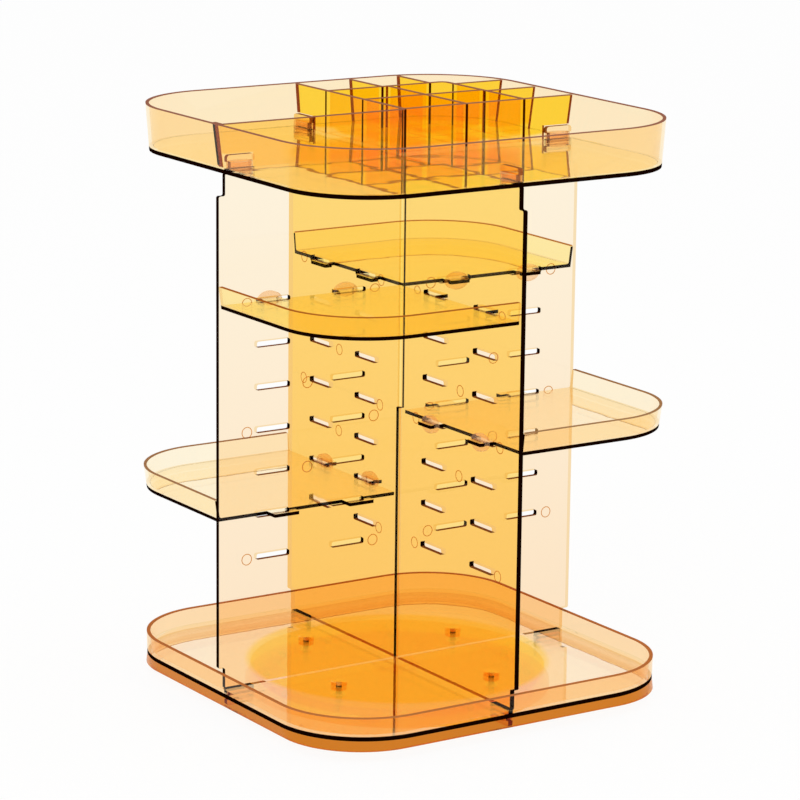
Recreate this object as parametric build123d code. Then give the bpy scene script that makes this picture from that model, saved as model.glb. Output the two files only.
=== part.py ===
"""Rotating makeup organiser in clear tinted plastic.

A low turntable carries a rounded-square base tray. Two slotted panels cross above it at half
lap and carry four quarter trays, hooked into the slots at chosen heights, and a deep top tray
with a divider wall and a grid of small cells.

Millimetres, +Z up. The origin is at the centre of the turntable, on the surface it stands on.
-Y is the front. "Front" tray means the quadrant x < 0, y < 0, and the others follow
anticlockwise as right, back and left.
"""
import os

from build123d import *

# ---- overall -----------------------------------------------------------------------------
half_width = 115.0         # of the top tray and the quarter trays, over their rims
seat_gap = 0.05            # left between two faces that are seated on each other

# ---- turntable -------------------------------------------------------------------------
foot_radius = 84.0
foot_thickness = 3.4
pad_count = 4
pad_radius = 6.0
pad_thickness = 1.6
pad_stand = 0.8            # how far each pad stands below the foot
pad_circle = 70.0          # radius of the circle the pads are set on
race_radius = 81.0
race_plate = 2.6
race_rib = 3.3             # depth of the track rib under the race plate
track_width = 12.0
race_gap = 1.6             # between the foot and the track rib, filled by the cage
ball_count = 12
ball_radius = 2.0
ball_circle = 72.0         # radius of the circle the balls run on
ball_clearance = 0.25      # between each ball and its groove
cage_thickness = 1.0
cage_width = 9.0
pocket_clearance = 0.15
hub_radius = 9.0
hub_clearance = 0.08       # radial running fit of the hub in the race
hub_lip = 0.8              # race metal that the pivot cap holds down
cap_radius = 13.0
cap_thickness = 1.4
cap_float = 0.1            # axial play under the pivot cap
plug_radius = 4.0
plug_length = 4.0
plug_clearance = 0.03

# ---- base tray -------------------------------------------------------------------------
base_inset = 0.3           # how far the base rim lies inside the half width
base_corner = 50.2
base_rim_height = 9.7      # rim above the floor
base_floor = 2.6
base_wall = 2.0
base_flare = 0.3           # how much wider the rim is than the floor, each side
skirt_depth = 5.7
skirt_inset = 0.9          # how much the skirt draws in at its lower edge, each side
skirt_corner = 45.0
screw_count = 4
screw_circle = 60.0
screw_angle = 25.4
screw_radius = 1.5
screw_clearance = 0.05
screw_head_radius = 3.0
screw_head_height = 1.5
screw_bite = 4.1           # thread length above the race plate
boss_radius = 4.4
boss_height = 2.6

# ---- crossing panels -------------------------------------------------------------------
panel_inset = 0.5          # how far the panels' ends lie inside the half width
panel_height = 278.8
panel_thickness = 2.8
notch_width = 3.8
notch_height = 11.7
outline_round = 1.0
lap_height = 141.5         # where the two half laps meet, above the base floor
lap_clearance = 0.15
slot_length = 20.4
slot_height = 3.2
slot_round = 1.0
slot_near = 33.9           # distances of the two slot columns from the middle
slot_far = 81.1
slot_rows = 7
slot_pitch = 23.15
slot_lift = 0.5            # how far the middle row lies above half height

# ---- tabs and the soft rings that hold them ------------------------------------------------
post_inset = 13.7          # from the half width to the middle of each panel tab
post_width = 16.5
post_reach = 9.5
post_round = 1.6
post_waist = 2.1           # how far the waist cuts in on each side
post_hole_clearance = 0.3
post_hole_round = 0.8
post_ring_width = 15.0
post_ring_depth = 3.6
tab_width = 12.4
tab_reach = 5.5            # beyond the far face of the panel
tab_waist = 1.2
tab_ring_width = 14.0
tab_ring_depth = 2.6
tip_round = 0.8
ring_height = 9.5
ring_fit = 0.2             # slack of a ring on its waist, all round

# ---- quarter trays ---------------------------------------------------------------------
tray_corner = 48.0
tray_flare = 1.6
tray_height = 12.2
tray_floor = 1.9
tray_wall = 1.6
tray_gap = 0.6             # between a tray's straight edges and the panels
floor_fillet = 1.2
rim_end_round = 1.2
hook_neck = 11.3
hook_catch = 4.2           # how far the hook's foot reaches beyond its neck
hook_gap = 0.3             # between the hook and the far face of the panel
hook_depth = 4.7
hook_inset = 0.8           # from the slot's end to the hook's neck
tray_rows = {"front": 3, "right": 0, "back": 3, "left": -2}   # rows counted from the middle
tray_turns = {"front": 0, "right": 90, "back": 180, "left": 270}

# ---- top tray and its dividers -----------------------------------------------------------
top_corner = 53.4
top_floor_corner = 45.5
top_flare = 3.5
top_wall_height = 23.7     # rim above the floor
top_floor = 2.2
top_wall = 1.8
grid_wall = 2.0
grid_height = 23.6
grid_line = 1.5            # middle of the first wall of the grid from the tray's middle
grid_gap = 2.0             # between the free ends of the grid and the tray's wall
cell_near = 36.9           # wall between the first two outer cells
cell_mid = 41.2            # wall between the first two inner cells
cell_far = 78.9            # outer walls of the four inner cells
cell_corner = 68.6         # walls of the enlarged corner cell
cell_round = 5.0
divider_height = 23.6
divider_flange = 8.0       # return along the tray's wall, from the divider's middle
divider_gap = 0.3
arch_clearance = 0.5       # above and beside the panel tabs that the dividers step over

# ---- sizes and levels that follow --------------------------------------------------------
base_half = half_width - base_inset
panel_width = 2 * (half_width - panel_inset)
post_place = half_width - post_inset
slot_columns = (slot_near, slot_far)
foot_under = pad_stand
foot_top = foot_under + foot_thickness
ball_level = foot_top + race_gap / 2
rib_under = foot_top + race_gap
race_under = rib_under + race_rib
floor_under = race_under + race_plate
floor_top = floor_under + base_floor
base_rim = floor_top + base_rim_height
skirt_under = floor_under - skirt_depth
panel_under = floor_top + seat_gap
top_under = panel_under + panel_height + seat_gap
top_floor_level = top_under + top_floor
top_rim = top_floor_level + top_wall_height
middle_row = panel_under + panel_height / 2 + slot_lift
panel_face = panel_thickness / 2
tray_edge = panel_face + tray_gap
quarter_turns = (0, 90, 180, 270)


def rounded_square(half_side, corner, level):
    """Flat rounded square about the Z axis."""
    return Plane.XY.offset(level) * RectangleRounded(2 * half_side, 2 * half_side, corner)


def drafted_block(low_half, low_corner, high_half, high_corner, low_level, high_level):
    """Rounded square that widens or narrows evenly from one level to the other."""
    sections = [rounded_square(low_half, low_corner, low_level),
                rounded_square(high_half, high_corner, high_level)]
    return loft(sections, ruled=True)


def disc(radius, low_level, high_level):
    return Plane.XY.offset(low_level) * extrude(Circle(radius), high_level - low_level)


def around(count, radius, start=0.0):
    """Locations evenly spaced round the Z axis."""
    return PolarLocations(radius, count, start_angle=start)


# ---- turntable -------------------------------------------------------------------------

def ball_groove():
    return Pos(0, 0, ball_level) * Torus(ball_circle, ball_radius + ball_clearance)


def foot_plate():
    """Round foot with pad recesses, the lower ball groove and the hub."""
    plate = disc(foot_radius, foot_under, foot_top)
    plate = chamfer(plate.edges().group_by(Axis.Z)[-1], 0.6)
    plate += disc(hub_radius, foot_top, race_under + hub_lip + cap_float / 2)
    plate -= ball_groove()
    recess = disc(pad_radius + seat_gap, foot_under, pad_thickness + seat_gap)
    plate -= [place * recess for place in around(pad_count, pad_circle, 45)]
    bore_floor = race_under + hub_lip + cap_float - plug_length - 2 * seat_gap
    plate -= disc(plug_radius + plug_clearance, bore_floor, race_under + hub_lip + cap_float)
    return plate


def foot_pads():
    pad = disc(pad_radius, 0, pad_thickness)
    pad = chamfer(pad.edges().group_by(Axis.Z)[0], 0.3)
    return Compound([place * pad for place in around(pad_count, pad_circle, 45)])


def ball_cage():
    ring_level = ball_level - cage_thickness / 2
    ring = disc(ball_circle + cage_width / 2, ring_level, ring_level + cage_thickness)
    ring -= disc(ball_circle - cage_width / 2, ring_level, ring_level + cage_thickness)
    pocket = disc(ball_radius + pocket_clearance, ring_level, ring_level + cage_thickness)
    return ring - [place * pocket for place in around(ball_count, ball_circle)]


def bearing_balls():
    ball = Pos(0, 0, ball_level) * Sphere(ball_radius)
    return Compound([place * ball for place in around(ball_count, ball_circle)])


def upper_race():
    """Turning disc with its track rib, held down at the hub and screwed under the base."""
    race = disc(race_radius, race_under, floor_under - seat_gap)
    race += disc(ball_circle + track_width / 2, rib_under, race_under)
    race -= disc(ball_circle - track_width / 2, rib_under, race_under)
    race -= ball_groove()
    race -= disc(hub_radius + hub_clearance, race_under, race_under + hub_lip)
    race -= disc(cap_radius + 2 * ball_clearance, race_under + hub_lip, floor_under)
    hole = disc(screw_radius + 4 * screw_clearance, race_under, floor_under)
    return race - [place * hole for place in around(screw_count, screw_circle, screw_angle)]


def pivot_cap():
    """Snap cap on the hub that keeps the race from lifting off."""
    cap_under = race_under + hub_lip + cap_float
    cap = disc(cap_radius, cap_under, cap_under + cap_thickness)
    cap = chamfer(cap.edges().group_by(Axis.Z)[-1], 0.4)
    return cap + disc(plug_radius, cap_under - plug_length, cap_under)


def turntable_screws():
    head_under = race_under - seat_gap - screw_head_height
    head = disc(screw_head_radius, head_under, race_under - seat_gap)
    head = fillet(head.edges().group_by(Axis.Z)[0], screw_head_height / 2)
    blade = Box(screw_head_radius * 1.2, screw_radius / 2, screw_head_height)
    cross = blade + Rot(0, 0, 90) * blade
    head -= Pos(0, 0, head_under) * cross
    screw = head + disc(screw_radius, race_under - seat_gap, floor_under + screw_bite)
    return Compound([place * screw for place in around(screw_count, screw_circle, screw_angle)])


# ---- base tray and top tray ----------------------------------------------------------------

def post_holes(low_level, high_level):
    """Four slots through a floor for the panel tabs."""
    hole = RectangleRounded(post_width + 2 * post_hole_clearance,
                            panel_thickness + 2 * post_hole_clearance, post_hole_round)
    cut = Pos(post_place, 0, low_level) * extrude(hole, high_level - low_level)
    return [Rot(0, 0, turn) * cut for turn in quarter_turns]


def base_tray():
    """Low tray with a drafted rim, a drawn-in skirt and bosses over the turntable screws."""
    floor_half = base_half - base_flare
    floor_corner = base_corner - base_flare
    skirt_half = floor_half - skirt_inset
    shell = drafted_block(floor_half, floor_corner, base_half, base_corner, floor_under, base_rim)
    shell += drafted_block(skirt_half, skirt_corner, floor_half, floor_corner,
                           skirt_under, floor_under)
    cavity = drafted_block(floor_half - base_wall, floor_corner - base_wall,
                           base_half - base_wall, base_corner - base_wall, floor_top, base_rim)
    shell -= fillet(cavity.edges().group_by(Axis.Z)[0], floor_fillet)
    shell -= drafted_block(skirt_half - base_wall, skirt_corner - base_wall,
                           floor_half - base_wall, floor_corner - base_wall,
                           skirt_under, floor_under)
    boss = disc(boss_radius, floor_top, floor_top + boss_height)
    boss = chamfer(boss.edges().group_by(Axis.Z)[-1], 0.5)
    shell += [place * boss for place in around(screw_count, screw_circle, screw_angle)]
    pilot = disc(screw_radius + screw_clearance, floor_under, floor_under + screw_bite + 4 * seat_gap)
    shell -= [place * pilot for place in around(screw_count, screw_circle, screw_angle)]
    return shell - post_holes(floor_under, floor_top)


def top_tray_block(inset, low_level, high_level):
    """Drafted block that keeps one distance inside the top tray's outer wall."""
    sections = []
    for level in (low_level, high_level):
        share = (level - top_under) / (top_rim - top_under)
        half_side = half_width - top_flare * (1 - share) - inset
        corner = top_floor_corner + (top_corner - top_floor_corner) * share - inset
        sections.append(rounded_square(half_side, corner, level))
    return loft(sections, ruled=True)


def top_tray():
    """Deep tray with drafted walls that seats on the panels."""
    cavity = top_tray_block(top_wall, top_floor_level, top_rim)
    cavity = fillet(cavity.edges().group_by(Axis.Z)[0], floor_fillet)
    shell = top_tray_block(0, top_under, top_rim) - cavity
    return shell - post_holes(top_under, top_floor_level)


# ---- crossing panels -------------------------------------------------------------------

def post_face(floor_thickness):
    """Tab of a panel, standing up from y = 0, with a waist beyond the floor it passes."""
    head = Pos(0, post_reach / 2 - post_round / 2) * RectangleRounded(
        post_width, post_reach + post_round, post_round)
    waist_depth = post_ring_depth + 2 * seat_gap
    waist = Rectangle(post_waist, waist_depth)
    waist_level = floor_thickness + seat_gap + waist_depth / 2
    waist_place = (post_width - post_waist) / 2
    for side in (-1, 1):
        head -= Pos(side * waist_place, waist_level) * waist
    return head


def panel_face_sketch(lap_from_top):
    """Outline of a panel with its tabs, notches, half lap and slots; y = 0 is its foot."""
    face = Pos(0, panel_height / 2) * Rectangle(panel_width, panel_height)
    notch = Rectangle(2 * notch_width, 2 * notch_height)
    for side in (-1, 1):
        for level in (0, panel_height):
            face -= Pos(side * panel_width / 2, level) * notch
    face = fillet(face.vertices(), outline_round)
    for side in (-1, 1):
        face += Pos(side * post_place, panel_height) * post_face(top_floor)
        face += Pos(side * post_place, 0) * Rot(0, 0, 180) * post_face(base_floor)
    lap_width = panel_thickness + 2 * lap_clearance
    if lap_from_top:
        lap = panel_height - lap_height + lap_clearance
        face -= Pos(0, panel_height - lap / 2) * Rectangle(lap_width, lap)
    else:
        lap = lap_height + lap_clearance
        face -= Pos(0, lap / 2) * Rectangle(lap_width, lap)
    slot = RectangleRounded(slot_length, slot_height, slot_round)
    for row in range(slot_rows):
        level = panel_height / 2 + slot_lift + (row - slot_rows // 2) * slot_pitch
        for column in slot_columns:
            face -= [Pos(side * column, level) * slot for side in (-1, 1)]
    return face


def panel_wide():
    """Panel in the plane y = 0, open from the top for the half lap."""
    face = Plane.XZ.offset(-panel_thickness / 2) * panel_face_sketch(lap_from_top=True)
    return Pos(0, 0, panel_under) * extrude(face, panel_thickness)


def panel_deep():
    """Panel in the plane x = 0, open from below for the half lap."""
    face = Plane.YZ.offset(-panel_thickness / 2) * panel_face_sketch(lap_from_top=False)
    return Pos(0, 0, panel_under) * extrude(face, panel_thickness)


# ---- soft rings --------------------------------------------------------------------------

def ring(outer_width, waist_width, waist_thickness, depth):
    """Oval ring with a slot that fits the waist of a tab, lying on z = 0."""
    opening = RectangleRounded(waist_width + 2 * ring_fit, waist_thickness + 2 * ring_fit, ring_fit)
    oval = Ellipse(outer_width / 2, ring_height / 2)
    return extrude(oval - opening, depth)


def post_ring():
    return ring(post_ring_width, post_width - 2 * post_waist, panel_thickness, post_ring_depth)


def top_rings():
    soft_ring = post_ring()
    seat = Pos(post_place, 0, top_floor_level + seat_gap)
    return Compound([Rot(0, 0, turn) * seat * soft_ring for turn in quarter_turns])


def base_rings():
    soft_ring = post_ring()
    seat = Pos(post_place, 0, floor_under - seat_gap - post_ring_depth)
    return Compound([Rot(0, 0, turn) * seat * soft_ring for turn in quarter_turns])


def tray_rings(name):
    """Two rings on the straight tabs of a tray, seated on the far face of the panel."""
    soft_ring = ring(tab_ring_width, tab_width - 2 * tab_waist, tray_floor, tab_ring_depth)
    upright = Rot(-90, 0, 0) * soft_ring
    level = tray_level(name) + tray_floor / 2
    rings = [Pos(-column, panel_face + seat_gap, level) * upright for column in slot_columns]
    return Compound([Rot(0, 0, tray_turns[name]) * one for one in rings])


# ---- quarter trays -----------------------------------------------------------------------

def tray_level(name):
    """Underside of a tray: its tabs lie on the lower edges of the slots."""
    return middle_row + tray_rows[name] * slot_pitch - slot_height / 2 + seat_gap


def straight_tab(column):
    """Plain tab on the edge y = 0, with a waist for its ring."""
    root = -tray_edge - tray_wall
    tip = panel_face + tab_reach
    tab = Pos(-column, (root + tip) / 2) * RectangleRounded(tab_width, tip - root, tip_round)
    waist_depth = tab_ring_depth + 2 * seat_gap
    waist = Rectangle(tab_waist, waist_depth)
    for side in (-1, 1):
        place = -column + side * (tab_width - tab_waist) / 2
        tab -= Pos(place, panel_face + seat_gap / 2 + waist_depth / 2) * waist
    return tab


def hook_tab(column):
    """Hook on the edge x = 0: its foot reaches behind the panel towards the middle."""
    slot_end = -column + slot_length / 2
    neck_end = slot_end - hook_inset
    foot_near = panel_face + hook_gap
    foot_far = foot_near + hook_depth
    root = -tray_edge - tray_wall
    neck = Pos((root + foot_far - tip_round) / 2, neck_end - hook_neck / 2) * Rectangle(
        foot_far - tip_round - root, hook_neck)
    foot_length = hook_catch + hook_neck
    foot_middle = neck_end + hook_catch - foot_length / 2
    foot = Pos((foot_near + foot_far) / 2, foot_middle) * RectangleRounded(
        hook_depth, foot_length, tip_round)
    return neck + foot


def quarter_tray(name):
    """Tray with a rim on its two outer sides, straight tabs on one edge and hooks on the other."""
    body = drafted_block(half_width - tray_flare, tray_corner - tray_flare,
                         half_width, tray_corner, 0, tray_height)
    inset = tray_wall + tray_flare * (1 - tray_floor / tray_height)
    cavity = drafted_block(half_width - inset, tray_corner - inset,
                           half_width - tray_wall, tray_corner - tray_wall,
                           tray_floor, tray_height)
    body -= fillet(cavity.edges().group_by(Axis.Z)[0], floor_fillet)
    quadrant = Pos(-tray_edge - half_width / 2, -tray_edge - half_width / 2, tray_height / 2)
    body &= quadrant * Box(half_width, half_width, tray_height)
    rim_ends = body.edges().group_by(Axis.Z)[-1].filter_by(lambda edge: edge.length < 2 * tray_wall)
    body = fillet(rim_ends, rim_end_round)
    for column in slot_columns:
        body += extrude(straight_tab(column), tray_floor)
        body += extrude(hook_tab(column), tray_floor)
    return Rot(0, 0, tray_turns[name]) * Pos(0, 0, tray_level(name)) * body


# ---- dividers ----------------------------------------------------------------------------

def wall_between(start, end):
    """Plan of one straight divider wall, from start to end."""
    length_x = abs(end[0] - start[0]) + grid_wall
    length_y = abs(end[1] - start[1]) + grid_wall
    middle = Pos((start[0] + end[0]) / 2, (start[1] + end[1]) / 2)
    return middle * Rectangle(length_x, length_y)


def middle_cell_plan():
    """The wall round the inner cell that has the one rounded corner."""
    inner_size = cell_far - cell_mid - grid_wall
    centre = Pos((cell_far + cell_mid) / 2, (cell_far + cell_mid) / 2)
    outer = centre * Rectangle(inner_size + 2 * grid_wall, inner_size + 2 * grid_wall)
    inner = centre * Rectangle(inner_size, inner_size)
    outer_corner = outer.vertices().sort_by(lambda vertex: vertex.X + vertex.Y)[-1]
    inner_corner = inner.vertices().sort_by(lambda vertex: vertex.X + vertex.Y)[-1]
    return fillet(outer_corner, cell_round) - fillet(inner_corner, cell_round - grid_wall)


def grid_half_plan():
    """Walls of the grid that run along X, the outer ones on past the tray's wall."""
    plan = wall_between((grid_line, grid_line), (half_width, grid_line))
    plan += wall_between((grid_line, cell_mid), (cell_mid, cell_mid))
    plan += wall_between((cell_far, cell_near), (half_width, cell_near))
    plan += wall_between((grid_line, cell_far), (cell_mid, cell_far))
    plan += wall_between((cell_far, cell_corner), (half_width, cell_corner))
    return plan


def inside_top_tray(gap, height):
    """Block that stands on the top tray's floor and keeps a gap to its wall."""
    level = top_floor_level + seat_gap
    return top_tray_block(top_wall + gap, level, level + height)


def tab_arch():
    """Room over a panel tab and its ring, under a wall that runs along X."""
    width = post_width + 2 * arch_clearance
    height = post_reach - top_floor + arch_clearance
    reach = half_width - post_place + width / 2
    middle = post_place - width / 2 + reach / 2
    return Pos(middle, 0, top_floor_level + height / 2) * Box(reach, ring_height + 2 * arch_clearance, height)


def cell_grid():
    """One-piece grid of nine cells that fills the back right quarter of the top tray."""
    plan = grid_half_plan()
    plan += mirror(plan, about=Plane((0, 0, 0), x_dir=(0, 0, 1), z_dir=(1, -1, 0)))
    plan += middle_cell_plan()
    grid = Pos(0, 0, top_floor_level + seat_gap) * extrude(plan, grid_height)
    grid &= inside_top_tray(grid_gap, grid_height)
    grid -= tab_arch()
    return grid - Rot(0, 0, 90) * tab_arch()


def divider_wall():
    """Single wall across the left half of the top tray, with a return along the tray's wall."""
    right_end = grid_line - grid_wall / 2 - divider_gap
    room = inside_top_tray(divider_gap, divider_height)
    room = chamfer(room.edges().group_by(Axis.Z)[0], floor_fillet)
    level = top_floor_level + seat_gap + divider_height / 2
    length = right_end + half_width
    wall = Pos(right_end - length / 2, 0, level) * Box(length, grid_wall, divider_height)
    flange = room - inside_top_tray(divider_gap + grid_wall, divider_height)
    flange_width = divider_flange + grid_wall / 2
    flange_middle = (divider_flange - grid_wall / 2) / 2
    flange_band = Pos(-half_width, flange_middle, level) * Box(half_width, flange_width, divider_height)
    return (wall & room) + (flange & flange_band) - Rot(0, 0, 180) * tab_arch()


# ---- all pieces ----------------------------------------------------------------------------

def build_parts():
    parts = {
        "foot_plate": foot_plate(),
        "foot_pads": foot_pads(),
        "pivot_cap": pivot_cap(),
        "ball_cage": ball_cage(),
        "bearing_balls": bearing_balls(),
        "upper_race": upper_race(),
        "turntable_screws": turntable_screws(),
        "base_tray": base_tray(),
        "panel_wide": panel_wide(),
        "panel_deep": panel_deep(),
        "top_tray": top_tray(),
        "cell_grid": cell_grid(),
        "divider_wall": divider_wall(),
        "top_rings": top_rings(),
        "base_rings": base_rings(),
    }
    for name in tray_rows:
        parts["tray_" + name] = quarter_tray(name)
        parts["tray_rings_" + name] = tray_rings(name)
    return parts


os.makedirs("parts", exist_ok=True)
for node, solid in build_parts().items():
    export_step(solid, "parts/" + node + ".step")
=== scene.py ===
"""Rotating makeup organiser in clear amber plastic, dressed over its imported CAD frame."""
import math

import bmesh
import bpy
from mathutils import Matrix, Vector


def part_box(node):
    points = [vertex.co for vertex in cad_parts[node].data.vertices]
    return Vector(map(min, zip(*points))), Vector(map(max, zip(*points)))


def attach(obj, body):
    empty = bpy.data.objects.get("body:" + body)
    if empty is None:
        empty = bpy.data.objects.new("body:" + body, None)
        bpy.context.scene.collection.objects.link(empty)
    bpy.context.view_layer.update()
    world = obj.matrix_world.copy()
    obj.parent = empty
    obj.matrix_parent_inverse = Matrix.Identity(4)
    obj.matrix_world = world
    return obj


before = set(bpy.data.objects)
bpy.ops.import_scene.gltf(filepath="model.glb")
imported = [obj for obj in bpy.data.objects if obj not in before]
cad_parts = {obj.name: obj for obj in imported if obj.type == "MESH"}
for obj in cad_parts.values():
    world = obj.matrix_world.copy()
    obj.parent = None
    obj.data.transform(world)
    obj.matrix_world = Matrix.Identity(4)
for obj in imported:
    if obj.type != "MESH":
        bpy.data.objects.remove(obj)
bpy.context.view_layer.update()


# ---- Camera, light and floor ---------------------------------------------------------------
# A long lens looks slightly down on the corner between the front and left sides.
# The room is an even white studio, and the floor is a white sweep that keeps a faint shadow.

def linear(colour):
    """sRGB hex to linear RGBA."""
    parts = [int(colour[i:i + 2], 16) / 255 for i in (1, 3, 5)]
    return [c / 12.92 if c <= 0.04045 else ((c + 0.055) / 1.055) ** 2.4 for c in parts] + [1.0]


def add(tree, kind, settings=None, **links):
    """Adds a node, sets its inputs or properties, and links its inputs to other sockets."""
    node = tree.nodes.new(kind)
    for name, value in (settings or {}).items():
        if isinstance(name, int) or name in node.inputs:
            node.inputs[name].default_value = value
        else:
            setattr(node, name, value)
    for name, socket in links.items():
        key = int(name[1:]) if name[1:].isdigit() else name.replace("_", " ")
        tree.links.new(socket, node.inputs[key])
    return node


AZIMUTH, ELEVATION, ROLL = math.radians(-33.199), math.radians(12.996), math.radians(0.646)
LENS_PIXELS, PICTURE_PIXELS, DISTANCE = 3547.2, 800, 1.925
target = Vector((-0.000124, 0, 0.159884))
back = Vector((math.sin(AZIMUTH) * math.cos(ELEVATION), -math.cos(AZIMUTH) * math.cos(ELEVATION),
               math.sin(ELEVATION)))
level_right = (-back).cross(Vector((0, 0, 1))).normalized()
level_up = level_right.cross(-back)
right = math.cos(ROLL) * level_right + math.sin(ROLL) * level_up
up = -math.sin(ROLL) * level_right + math.cos(ROLL) * level_up
lens = bpy.data.cameras.new("camera")
lens.sensor_width = 36
lens.lens = LENS_PIXELS * lens.sensor_width / PICTURE_PIXELS
lens.clip_end = 20
camera = bpy.data.objects.new("camera", lens)
camera.matrix_world = Matrix.Translation(target + back * DISTANCE) @ Matrix(
    (right, up, back)).transposed().to_4x4()
bpy.context.scene.collection.objects.link(camera)
bpy.context.scene.camera = camera

# The room shows as plain white, and lights the object a little less than it shows.
ROOM_SHOWN, ROOM_LIGHT = 1.0, 0.8
world = bpy.data.worlds.new("studio")
bpy.context.scene.world = world
world.use_nodes = True
tree = world.node_tree
tree.nodes.clear()
path = add(tree, "ShaderNodeLightPath")
seen = add(tree, "ShaderNodeMath", {"operation": "MAXIMUM"}, _0=path.outputs["Is Camera Ray"],
           _1=path.outputs["Is Glossy Ray"])
seen = add(tree, "ShaderNodeMath", {"operation": "MAXIMUM"}, _0=seen.outputs[0],
           _1=path.outputs["Is Transmission Ray"])
strength = add(tree, "ShaderNodeMapRange", {"To Min": ROOM_LIGHT, "To Max": ROOM_SHOWN},
               Value=seen.outputs[0])
background = add(tree, "ShaderNodeBackground", {"Color": linear("#FFFFFF")},
                 Strength=strength.outputs[0])
add(tree, "ShaderNodeOutputWorld", Surface=background.outputs[0])

LAMP_AIM = Vector((0, 0, 0.15))
for name, place, power, size in (("key", (-1.3, -1.1, 1.7), 9, 1.1),
                                 ("fill", (1.5, -0.9, 1.2), 4, 1.4)):
    light = bpy.data.lights.new(name, "AREA")
    light.energy = power
    light.size = size
    lamp = bpy.data.objects.new(name, light)
    lamp.location = place
    lamp.rotation_euler = (LAMP_AIM - Vector(place)).to_track_quat("-Z", "Y").to_euler()
    bpy.context.scene.collection.objects.link(lamp)

# White paper. Most of the white that shows is a glow, so that its shadow stays faint.
PAPER_GLOW, PAPER_HALF = 0.92, 6
sweep = bpy.data.materials.new("white_paper_sweep")
sweep.use_nodes = True
tree = sweep.node_tree
tree.nodes.clear()
path = add(tree, "ShaderNodeLightPath")
seen = add(tree, "ShaderNodeMath", {"operation": "MAXIMUM"}, _0=path.outputs["Is Camera Ray"],
           _1=path.outputs["Is Glossy Ray"])
share = add(tree, "ShaderNodeMath", {"operation": "MULTIPLY", 1: PAPER_GLOW}, _0=seen.outputs[0])
paper = add(tree, "ShaderNodeBsdfDiffuse", {"Color": linear("#FFFFFF")})
glow = add(tree, "ShaderNodeEmission", {"Color": linear("#FFFFFF"), "Strength": 1.0})
mixed = add(tree, "ShaderNodeMixShader", {}, _0=share.outputs[0], _1=paper.outputs[0],
            _2=glow.outputs[0])
add(tree, "ShaderNodeOutputMaterial", Surface=mixed.outputs[0])
mesh = bmesh.new()
bmesh.ops.create_grid(mesh, x_segments=1, y_segments=1, size=PAPER_HALF)
floor_mesh = bpy.data.meshes.new("floor")
mesh.to_mesh(floor_mesh)
mesh.free()
floor = bpy.data.objects.new("floor", floor_mesh)
floor.data.materials.append(sweep)
bpy.context.scene.collection.objects.link(floor)

# Many sheets stand one behind the other, so a ray may pass through many faces.
bpy.context.scene.view_settings.view_transform = "Standard"
bpy.context.scene.cycles.transparent_max_bounces = 96
bpy.context.scene.cycles.max_bounces = 16
bpy.context.scene.cycles.glossy_bounces = 6


# ---- Crossing panels -----------------------------------------------------------------------
# Two injection-moulded sheets of clear styrene acrylonitrile, tinted amber and mould-polished.
# They slide into each other at half lap. Their cut edges are painted near black: painted shade for
# the light caught in the sheet.

# The moulded faces sag in slow swirls, about 17 mm apart and far too shallow to see as shape.
SWIRL_SCALE, SWIRL_DEPTH = 60.0, 0.00005
# How the gloss grows towards a slanting view. A level floor mirrors what stands on it.
LEAST_GLOSS, GLOSS_ROUGHNESS = 0.01, 0.02
WALL_POWER, WALL_GLOSS = 5.0, 0.5
FLOOR_POWER, FLOOR_GLOSS = 1.3, 0.85
# How soft the rim of the painted reflection pool is.
PAINTED_POOL_EDGE = 0.002


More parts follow.
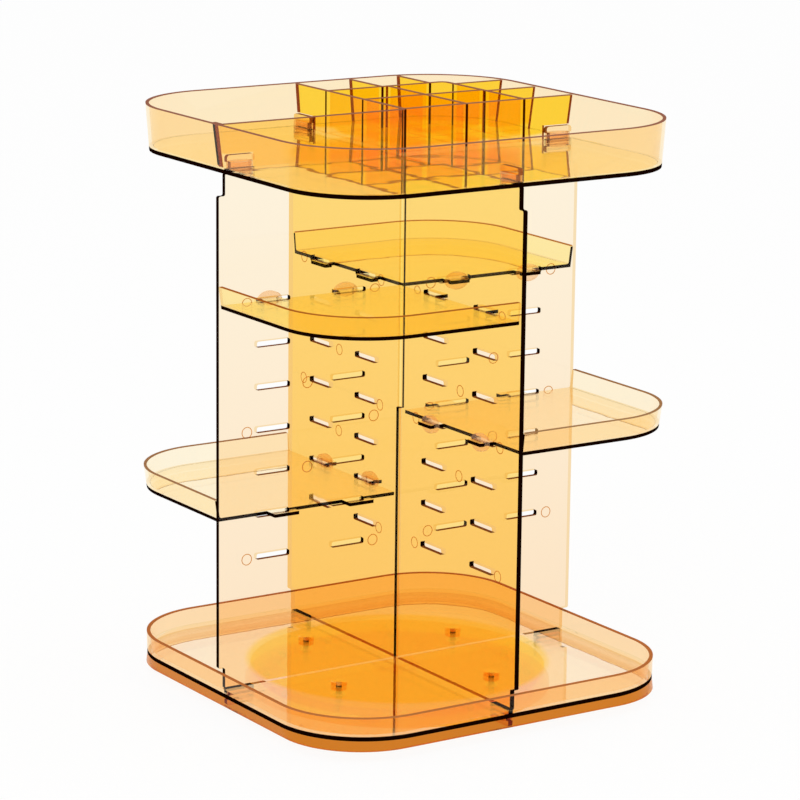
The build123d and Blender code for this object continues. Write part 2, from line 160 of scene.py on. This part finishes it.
def clear_plastic(name, tints, edges, levels=(0.0, 1.0), painted_reflection="#FFFFFF", painted_reflection_pool=None,
                  far="#F8E6C4", brown="#8A4A30", dark="#120300", wave=0.0):
    """Amber sheet: a filter for what is behind it, a polished gloss, and cut edges painted in dark
    shade.

    tints are the colours that the whole sheet passes at the two levels, between which it
    fades, and wave is how far the swirls shift that fade. edges takes the tree, the place and
    the normal, and gives masks of the edges painted with dark shade, of those painted with brown
    shade, and of the clear edges. far is the painted shade that an edge passes when it is seen
    from inside the sheet. mirror is a painted colour for what a level floor mirrors, and middle a
    radius and the colour of a painted pool of reflection within it.
    """
    material = bpy.data.materials.new(name)
    material.use_nodes = True
    tree = material.node_tree
    tree.nodes.clear()
    coordinates = add(tree, "ShaderNodeTexCoord")
    place = add(tree, "ShaderNodeSeparateXYZ", {}, Vector=coordinates.outputs["Object"])
    normal = add(tree, "ShaderNodeSeparateXYZ", {}, Vector=coordinates.outputs["Normal"])
    swirl = add(tree, "ShaderNodeTexNoise", {"Scale": SWIRL_SCALE, "Detail": 1.0},
                Vector=coordinates.outputs["Object"])

    # What passes through: the tint at this height.
    lifted = add(tree, "ShaderNodeMath", {"operation": "MULTIPLY_ADD", 1: wave},
                 _0=swirl.outputs[0], _2=place.outputs["Z"])
    height = add(tree, "ShaderNodeMapRange", {"From Min": levels[0], "From Max": levels[1]},
                 Value=lifted.outputs[0])
    tint = add(tree, "ShaderNodeMix", {"data_type": "RGBA"}, Factor=height.outputs[0])
    tint.inputs[6].default_value = one_face(tints[0])
    tint.inputs[7].default_value = one_face(tints[1])
    through = add(tree, "ShaderNodeBsdfTransparent", {}, Color=tint.outputs[2])

    # What it mirrors, and how much of it, on walls and on level floors. The reflection keeps its
    # white on walls and takes a painted colour on level floors, with a painted pool of another
    # colour near the centre.
    level = looks_along(tree, normal, "Z")
    power = add(tree, "ShaderNodeMapRange", {"To Min": WALL_POWER, "To Max": FLOOR_POWER},
                Value=level.outputs[0])
    most = add(tree, "ShaderNodeMapRange", {"To Min": WALL_GLOSS, "To Max": FLOOR_GLOSS},
               Value=level.outputs[0])
    weight = add(tree, "ShaderNodeLayerWeight", {"Blend": 0.5})
    grazing = add(tree, "ShaderNodeMath", {"operation": "POWER"}, _0=weight.outputs["Facing"],
                  _1=power.outputs[0])
    share = add(tree, "ShaderNodeMath", {"operation": "MULTIPLY_ADD", 2: LEAST_GLOSS},
                _0=grazing.outputs[0], _1=most.outputs[0])
    # A painted pool of reflected colour within a radius of the centre, and the painted reflection
    # colour outside it.
    radius, painted_pool_colour = painted_reflection_pool or (0.01, painted_reflection)
    flat = add(tree, "ShaderNodeCombineXYZ", {}, X=place.outputs["X"], Y=place.outputs["Y"])
    reach = add(tree, "ShaderNodeVectorMath", {"operation": "LENGTH"}, _0=flat.outputs[0])
    outer = add(tree, "ShaderNodeMapRange",
                {"From Min": radius - PAINTED_POOL_EDGE, "From Max": radius + PAINTED_POOL_EDGE},
                Value=reach.outputs["Value"])
    painted_reflection_mix = add(tree, "ShaderNodeMix", {"data_type": "RGBA"}, Factor=outer.outputs[0])
    painted_reflection_mix.inputs[6].default_value = linear(painted_pool_colour)
    painted_reflection_mix.inputs[7].default_value = linear(painted_reflection)
    shine = add(tree, "ShaderNodeMix", {"data_type": "RGBA"}, Factor=level.outputs[0],
                _7=painted_reflection_mix.outputs[2])
    shine.inputs[6].default_value = linear("#FFFFFF")
    sag = add(tree, "ShaderNodeBump", {"Strength": 1.0, "Distance": SWIRL_DEPTH},
              Height=swirl.outputs[0])
    gloss = add(tree, "ShaderNodeBsdfGlossy", {"Roughness": GLOSS_ROUGHNESS},
                Color=shine.outputs[2], Normal=sag.outputs[0])
    sheet = add(tree, "ShaderNodeMixShader", {}, _0=share.outputs[0], _1=through.outputs[0],
                _2=gloss.outputs[0])

    # The cut edges: painted dark or brown shade from outside, and from inside the sheet a painted
    # tint, nearly clear unless it is given darker.
    dark_shade_masks, brown_shade_masks, clears = [any_of(tree, masks) for masks in edges(tree, place, normal)]
    # The painted edge shade: brown where the brown mask is, near black elsewhere.
    edge_shade_colour = add(tree, "ShaderNodeMix", {"data_type": "RGBA"}, Factor=brown_shade_masks.outputs[0])
    edge_shade_colour.inputs[6].default_value = linear(dark)
    edge_shade_colour.inputs[7].default_value = linear(brown)
    front = add(tree, "ShaderNodeBsdfPrincipled", {"Roughness": 0.2, "Specular IOR Level": 0.0},
                Base_Color=edge_shade_colour.outputs[2])
    behind = add(tree, "ShaderNodeBsdfTransparent", {"Color": linear(far)})
    geometry = add(tree, "ShaderNodeNewGeometry")
    cut = add(tree, "ShaderNodeMixShader", {}, _0=geometry.outputs["Backfacing"],
              _1=front.outputs[0], _2=behind.outputs[0])
    rim = all_of(tree, [any_of(tree, [dark_shade_masks, brown_shade_masks]), outside(tree, clears)])
    whole = add(tree, "ShaderNodeMixShader", {}, _0=rim.outputs[0], _1=sheet.outputs[0],
                _2=cut.outputs[0])
    add(tree, "ShaderNodeOutputMaterial", Surface=whole.outputs[0])
    return material


def one_face(colour):
    """What one of a sheet's two faces passes, so that both together pass the colour."""
    return [math.sqrt(part) for part in linear(colour)]


def any_of(tree, masks):
    """The largest of several masks, or one that is 0 everywhere."""
    if not masks:
        return add(tree, "ShaderNodeMath", {"operation": "ADD", 0: 0.0, 1: 0.0})
    while len(masks) > 1:
        masks = [add(tree, "ShaderNodeMath", {"operation": "MAXIMUM"}, _0=masks[0].outputs[0],
                     _1=masks[1].outputs[0])] + masks[2:]
    return masks[0]


def all_of(tree, masks):
    """The product of several masks."""
    while len(masks) > 1:
        masks = [add(tree, "ShaderNodeMath", {"operation": "MULTIPLY"}, _0=masks[0].outputs[0],
                     _1=masks[1].outputs[0])] + masks[2:]
    return masks[0]


def outside(tree, mask):
    """1 where the mask is 0."""
    return add(tree, "ShaderNodeMath", {"operation": "SUBTRACT", 0: 1.0}, _1=mask.outputs[0])


def looks_along(tree, normal, axis, least=0.7):
    """1 on faces that look along the axis, either way."""
    size = add(tree, "ShaderNodeMath", {"operation": "ABSOLUTE"}, _0=normal.outputs[axis])
    return add(tree, "ShaderNodeMath", {"operation": "GREATER_THAN", 1: least}, _0=size.outputs[0])


def between(tree, place, axis, low, high):
    """1 where the place along the axis lies between the two."""
    return add(tree, "ShaderNodeMath", {"operation": "COMPARE", 1: (low + high) / 2,
                                        2: (high - low) / 2}, _0=place.outputs[axis])


def dress(material, *nodes):
    """Gives the CAD nodes the material as their only one."""
    for node in nodes:
        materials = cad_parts[node].data.materials
        materials.clear()
        materials.append(material)


# Heights of the slots, of the upper tabs, of the lower tabs, and of the foot on the base floor.
SLOTS, UPPER_TABS, LOWER_TABS, FOOT = (0.03, 0.27), (0.2956, 0.32), (0, 0.0118), (0.0141, 0.0146)
FOOT_REACH = 0.085
# The crossing's edges, along one panel and across its thickness.
CROSSING, LAP = (-0.003, 0.003), (-0.0015, 0.0003)


def panel_edges(across, along, pale_foot):
    """Painted shade on a panel's edges: brown at its tabs, under its slots and, unless pale_foot,
    at its foot; near black on its other cut edges; none where the panels cross.
    """
    def edges(tree, place, normal):
        cut = outside(tree, looks_along(tree, normal, across))
        level = looks_along(tree, normal, "Z")
        brown_shade_masks = [all_of(tree, [mask, between(tree, place, "Z", *band)])
                  for mask, band in ((level, SLOTS), (cut, UPPER_TABS), (cut, LOWER_TABS))]
        crossing = all_of(tree, [looks_along(tree, normal, along),
                                 between(tree, place, along, *CROSSING),
                                 outside(tree, between(tree, place, across, *LAP))])
        foot = all_of(tree, [level, between(tree, place, "Z", *FOOT),
                             between(tree, place, along, -FOOT_REACH, FOOT_REACH)])
        dark_shade_masks, clears = [cut], [crossing]
        (clears if pale_foot else brown_shade_masks).append(foot)
        return dark_shade_masks, brown_shade_masks, clears
    return edges


# Polished, so what is behind shows sharp through it, and it shines where it is seen at a slant.
# The panel from front to back takes the deeper tint.
PANEL_FADE = (0.03, 0.28)
# Their cut edges take painted dark and brown shade.
amber_wide = clear_plastic("moulded_san_panel_wide", ("#FEE6C6", "#FFF3DC"),
                           panel_edges("Y", "X", True), PANEL_FADE, brown="#9A5A28")
amber_deep = clear_plastic("moulded_san_panel_deep", ("#FFDC81", "#FFE389"),
                           panel_edges("X", "Y", False), PANEL_FADE, brown="#9A5A28")
dress(amber_wide, "panel_wide")
dress(amber_deep, "panel_deep")


# ---- Marks of the ejector pins -------------------------------------------------------------
# Faint raised circles that the mould's ejector pins leave on one face of each panel.
# They are part of the moulding, so they are of the same amber plastic.

PIN_RADIUS, PIN_LINE, PIN_HEIGHT, PIN_SIDES = 0.0032, 0.00045, 0.00012, 24
PANEL_FACE = 0.0014
MIDDLE, ROW = 0.15375, 0.02315
# How far out from the crossing each pin stands, and how many rows above the middle.
PINS = ((0.018, -3), (0.018, 0), (0.018, 3), (0.0975, -3), (0.0975, 0), (0.0975, 3),
        (0.060, -1), (0.060, 1))
# Clear like the panels, but tinted a deeper amber all over, a painted shade for what its slanting
# line catches, so the circle shows.
marked_plastic = clear_plastic("moulded_san_pin_marks", ("#D89A50", "#D89A50"),
                               lambda tree, place, normal: ([], [], []))
lean = Matrix.Rotation(math.radians(90), 4, "X")


def by_corners(face):
    """A number that only this face of its mesh has. bmesh lists new faces in no fixed order."""
    number = 0
    for index in sorted(vert.index for vert in face.verts):
        number = number * len(mesh.verts) + index
    return number


for name, turn in (("pin_marks_wide", 0), ("pin_marks_deep", -90)):
    mesh = bmesh.new()
    for place, rows in [(side * place, rows) for side in (-1, 1) for place, rows in PINS]:
        earlier = set(mesh.verts)
        rims = []
        for radius in (PIN_RADIUS, PIN_RADIUS - PIN_LINE):
            circle = bmesh.ops.create_circle(mesh, cap_ends=False, radius=radius,
                                             segments=PIN_SIDES)
            rims += dict.fromkeys(edge for vert in circle["verts"] for edge in vert.link_edges)
        ring = bmesh.ops.bridge_loops(mesh, edges=rims)["faces"]
        bmesh.ops.solidify(mesh, geom=ring, thickness=PIN_HEIGHT)
        fresh = [vert for vert in mesh.verts if vert not in earlier]
        bmesh.ops.transform(mesh, verts=fresh, matrix=Matrix.Translation(
            (place, -PANEL_FACE - PIN_HEIGHT / 2, MIDDLE + rows * ROW)) @ lean)
    bmesh.ops.rotate(mesh, verts=mesh.verts, cent=(0, 0, 0),
                     matrix=Matrix.Rotation(math.radians(turn), 3, "Z"))
    bmesh.ops.recalc_face_normals(mesh, faces=mesh.faces)
    mesh.verts.index_update()
    mesh.faces.sort(key=by_corners)
    marks = bpy.data.meshes.new(name)
    mesh.to_mesh(marks)
    mesh.free()
    piece = bpy.data.objects.new(name, marks)
    piece.data.materials.append(marked_plastic)
    bpy.context.scene.collection.objects.link(piece)
    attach(piece, "tower")


# ---- Quarter trays -------------------------------------------------------------------------
# Four mouldings of the same clear amber plastic, each a quarter of a rounded square.
# Hooks on one straight edge and two ringed tabs on the other hold them in the panels' slots.

QUARTER_FLOOR = 0.002
STRAIGHT_ENDS = (-0.004, 0.004)
# How far the painted shade on a rim's top and on a floor's cut edge reaches.
RIM_LINE, BELOW, ABOVE = 0.0004, 0.0001, 0.0002


def tray_edges(bottom, top, floor_edge):
    """Painted shade: dark on the floor's cut edge and the rim's straight ends, brown on the rim's
    top.
    """
    def edges(tree, place, normal):
        upright = outside(tree, looks_along(tree, normal, "Z", 0.95))
        dark_shade_masks = [all_of(tree, [upright, between(tree, place, "Z", bottom - BELOW,
                                                bottom + floor_edge)])]
        for axis in "XY":
            dark_shade_masks.append(all_of(tree, [looks_along(tree, normal, axis, 0.9),
                                       between(tree, place, axis, *STRAIGHT_ENDS)]))
        return dark_shade_masks, [between(tree, place, "Z", top - RIM_LINE, top + ABOVE)], []
    return edges


# Clear and polished. The front and back trays look a deeper yellow than the side ones,
# and a rim's top takes a thin line of painted shade in the sheet's colour; level faces take a
# painted reflection in the tray's own tint.
for name, tint, rim in (("front", "#FFF3B8", "#B06020"), ("right", "#FFF2D6", "#A87C54"),
                        ("back", "#FFF7C0", "#CC8A30"), ("left", "#FFF5DC", "#A87C58")):
    low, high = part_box("tray_" + name)
    dress(clear_plastic("moulded_san_tray_" + name, (tint, tint),
                        tray_edges(low[2], high[2], QUARTER_FLOOR), painted_reflection=tint, brown=rim),
          "tray_" + name)


# ---- Top tray and its dividers -------------------------------------------------------------
# A deep drafted tray seated on the panels, with a loose grid of cells and one divider wall.
# All three are moulded of the same clear plastic, and the dividers stand by their own weight.

LARGE_FLOOR = 0.0023
TOP_UNDER, TOP_FLOOR, TOP_FADE = 0.2932, 0.2954, 0.0004
# Pale walls over a slightly deeper floor. Level faces take a painted pale cream reflection, with a
# yellower painted pool of reflection within 60 mm of the centre; its floor edge and rim top take
# painted shade.
low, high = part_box("top_tray")
top_plastic = clear_plastic("moulded_san_top_tray", ("#FFF0C8", "#FFECC6"),
                            tray_edges(TOP_UNDER, high[2], LARGE_FLOOR),
                            (TOP_FLOOR, TOP_FLOOR + TOP_FADE), painted_reflection="#FFFCEC",
                            painted_reflection_pool=(0.06, "#FFF4A8"), brown="#9A6450")
dress(top_plastic, "top_tray")


def divider_edges(top, strips):
    """Painted shade: brown on the tops of the walls, and dark on strips given by the axis they
    face, their x and their y.
    """
    def edges(tree, place, normal):
        dark_shade_masks = [all_of(tree, [looks_along(tree, normal, axis, 0.9), between(tree, place, "X", *x),
                               between(tree, place, "Y", *y)]) for axis, x, y in strips]
        return dark_shade_masks, [between(tree, place, "Z", top - RIM_LINE, top + ABOVE)], []
    return edges


# Where the grid's walls join, each with the span of the walls that meet there, and their ends;
# lines of painted dark shade go there.
JOINS = ((0.0015, (0.0, 0.115)), (0.0412, (0.0, 0.08)), (0.0789, (0.0, 0.08)),
         (0.0369, (0.077, 0.08)), (0.0686, (0.077, 0.08)))
JOIN_LINE = 0.0008
WALL_ENDS, WHOLE_SPAN = (0.1074, 0.112), (0.0, 0.115)
grid_strips = []
for join, span in JOINS:
    band = (join - JOIN_LINE, join + JOIN_LINE)
    grid_strips += [("Y", band, span), ("X", span, band)]
grid_strips += [("X", WALL_ENDS, WHOLE_SPAN), ("Y", WHOLE_SPAN, WALL_ENDS)]
# Strong yellow upright walls, nearly clear at their feet as a painted highlight for the white that
# the tray floor reflects there. Their joins and ends take lines of painted dark shade, their tops
# painted brown shade, and their level faces a painted yellow reflection.
low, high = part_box("cell_grid")
grid_plastic = clear_plastic("moulded_san_cell_grid", ("#FFF6E0", "#FFE24A"),
                             divider_edges(high[2], grid_strips), (0.3005, 0.302),
                             painted_reflection="#FFF0B0", far="#8A3C10", brown="#A06A50", dark="#3C0E00",
                             wave=0.006)
dress(grid_plastic, "cell_grid")
# One even amber, with a line of painted dark shade down its outer end.
OUTER_END, END_FACE, END_CORNER = (-0.115, -0.105), (0.0058, 0.0085), (0.0075, 0.0085)
low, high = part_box("divider_wall")
divider_plastic = clear_plastic("moulded_san_divider", ("#FFE08C", "#FFE08C"),
                                divider_edges(high[2], [("X", OUTER_END, END_FACE),
                                                        ("Y", OUTER_END, END_CORNER)]),
                                far="#8A3C10", brown="#9A6450")
dress(divider_plastic, "divider_wall")


# ---- Base tray -----------------------------------------------------------------------------
# A low tray of the same plastic with a skirt under its floor, moulded in one.
# Four screws hold it down on the turntable's turning disc.

FLOOR_UNDER, SKIRT_FADE = 0.0117, 0.0002
# Clear above, and a deep orange painted in the skirt as coloured shade where the light has crossed
# the turntable. Level faces take a painted cream reflection, with a yellow painted pool within 83
# mm of the centre; the floor edge and rim top take painted shade.
low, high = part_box("base_tray")
base_plastic = clear_plastic("moulded_san_base_tray", ("#D27C1E", "#FEDDB0"),
                             tray_edges(FLOOR_UNDER, high[2], LARGE_FLOOR),
                             (FLOOR_UNDER - SKIRT_FADE, FLOOR_UNDER), painted_reflection="#FFF8E6",
                             painted_reflection_pool=(0.083, "#FFEE8C"), brown="#BE7440")
dress(base_plastic, "base_tray")


# ---- Soft rings ----------------------------------------------------------------------------
# Milky peach rings pushed over the tabs, so that the trays can't slip out of the slots.
# They are moulded of soft ethylene vinyl acetate.

def milky_plastic(name, colour, tint, cloudiness, roughness):
    """Cloudy plastic: most of the light passes, more is scattered where one looks along it."""
    material = bpy.data.materials.new(name)
    material.use_nodes = True
    tree = material.node_tree
    tree.nodes.clear()
    skin = add(tree, "ShaderNodeBsdfPrincipled", {"Base Color": linear(colour),
                                                  "Roughness": roughness, "IOR": 1.5})
    through = add(tree, "ShaderNodeBsdfTransparent", {"Color": one_face(tint)})
    weight = add(tree, "ShaderNodeLayerWeight", {"Blend": 0.5})
    grazing = add(tree, "ShaderNodeMath", {"operation": "POWER", 1: 3.0},
                  _0=weight.outputs["Facing"])
    share = add(tree, "ShaderNodeMapRange", {"To Min": cloudiness, "To Max": cloudiness * 4},
                Value=grazing.outputs[0])
    mixed = add(tree, "ShaderNodeMixShader", {}, _0=share.outputs[0], _1=through.outputs[0],
                _2=skin.outputs[0])
    add(tree, "ShaderNodeOutputMaterial", Surface=mixed.outputs[0])
    return material


# Slightly cloudy and soft in its shine.
ring_plastic = milky_plastic("soft_moulded_eva", "#FFD8C0", "#FFE8CC", 0.13, 0.35)
dress(ring_plastic, "top_rings", "base_rings", "tray_rings_front", "tray_rings_right",
      "tray_rings_back", "tray_rings_left")


# ---- Turntable -----------------------------------------------------------------------------
# Two moulded discs with a cage and a ring of steel balls between them, on rubber pads.
# A cap holds them together, and screws hold the upper one up under the base tray.

# Nearly clear, so it shows through the base tray only as a deeper orange.
disc_plastic = milky_plastic("moulded_polypropylene", "#FFE0CC", "#FFC440", 0.02, 0.3)
dress(disc_plastic, "foot_plate", "upper_race", "pivot_cap", "ball_cage", "foot_pads")
# Plated, with a soft pale shine.
steel = bpy.data.materials.new("zinc_plated_steel")
steel.use_nodes = True
shader = steel.node_tree.nodes["Principled BSDF"]
shader.inputs["Base Color"].default_value = linear("#E6E2DA")
shader.inputs["Metallic"].default_value = 1.0
shader.inputs["Roughness"].default_value = 0.4
dress(steel, "bearing_balls", "turntable_screws")
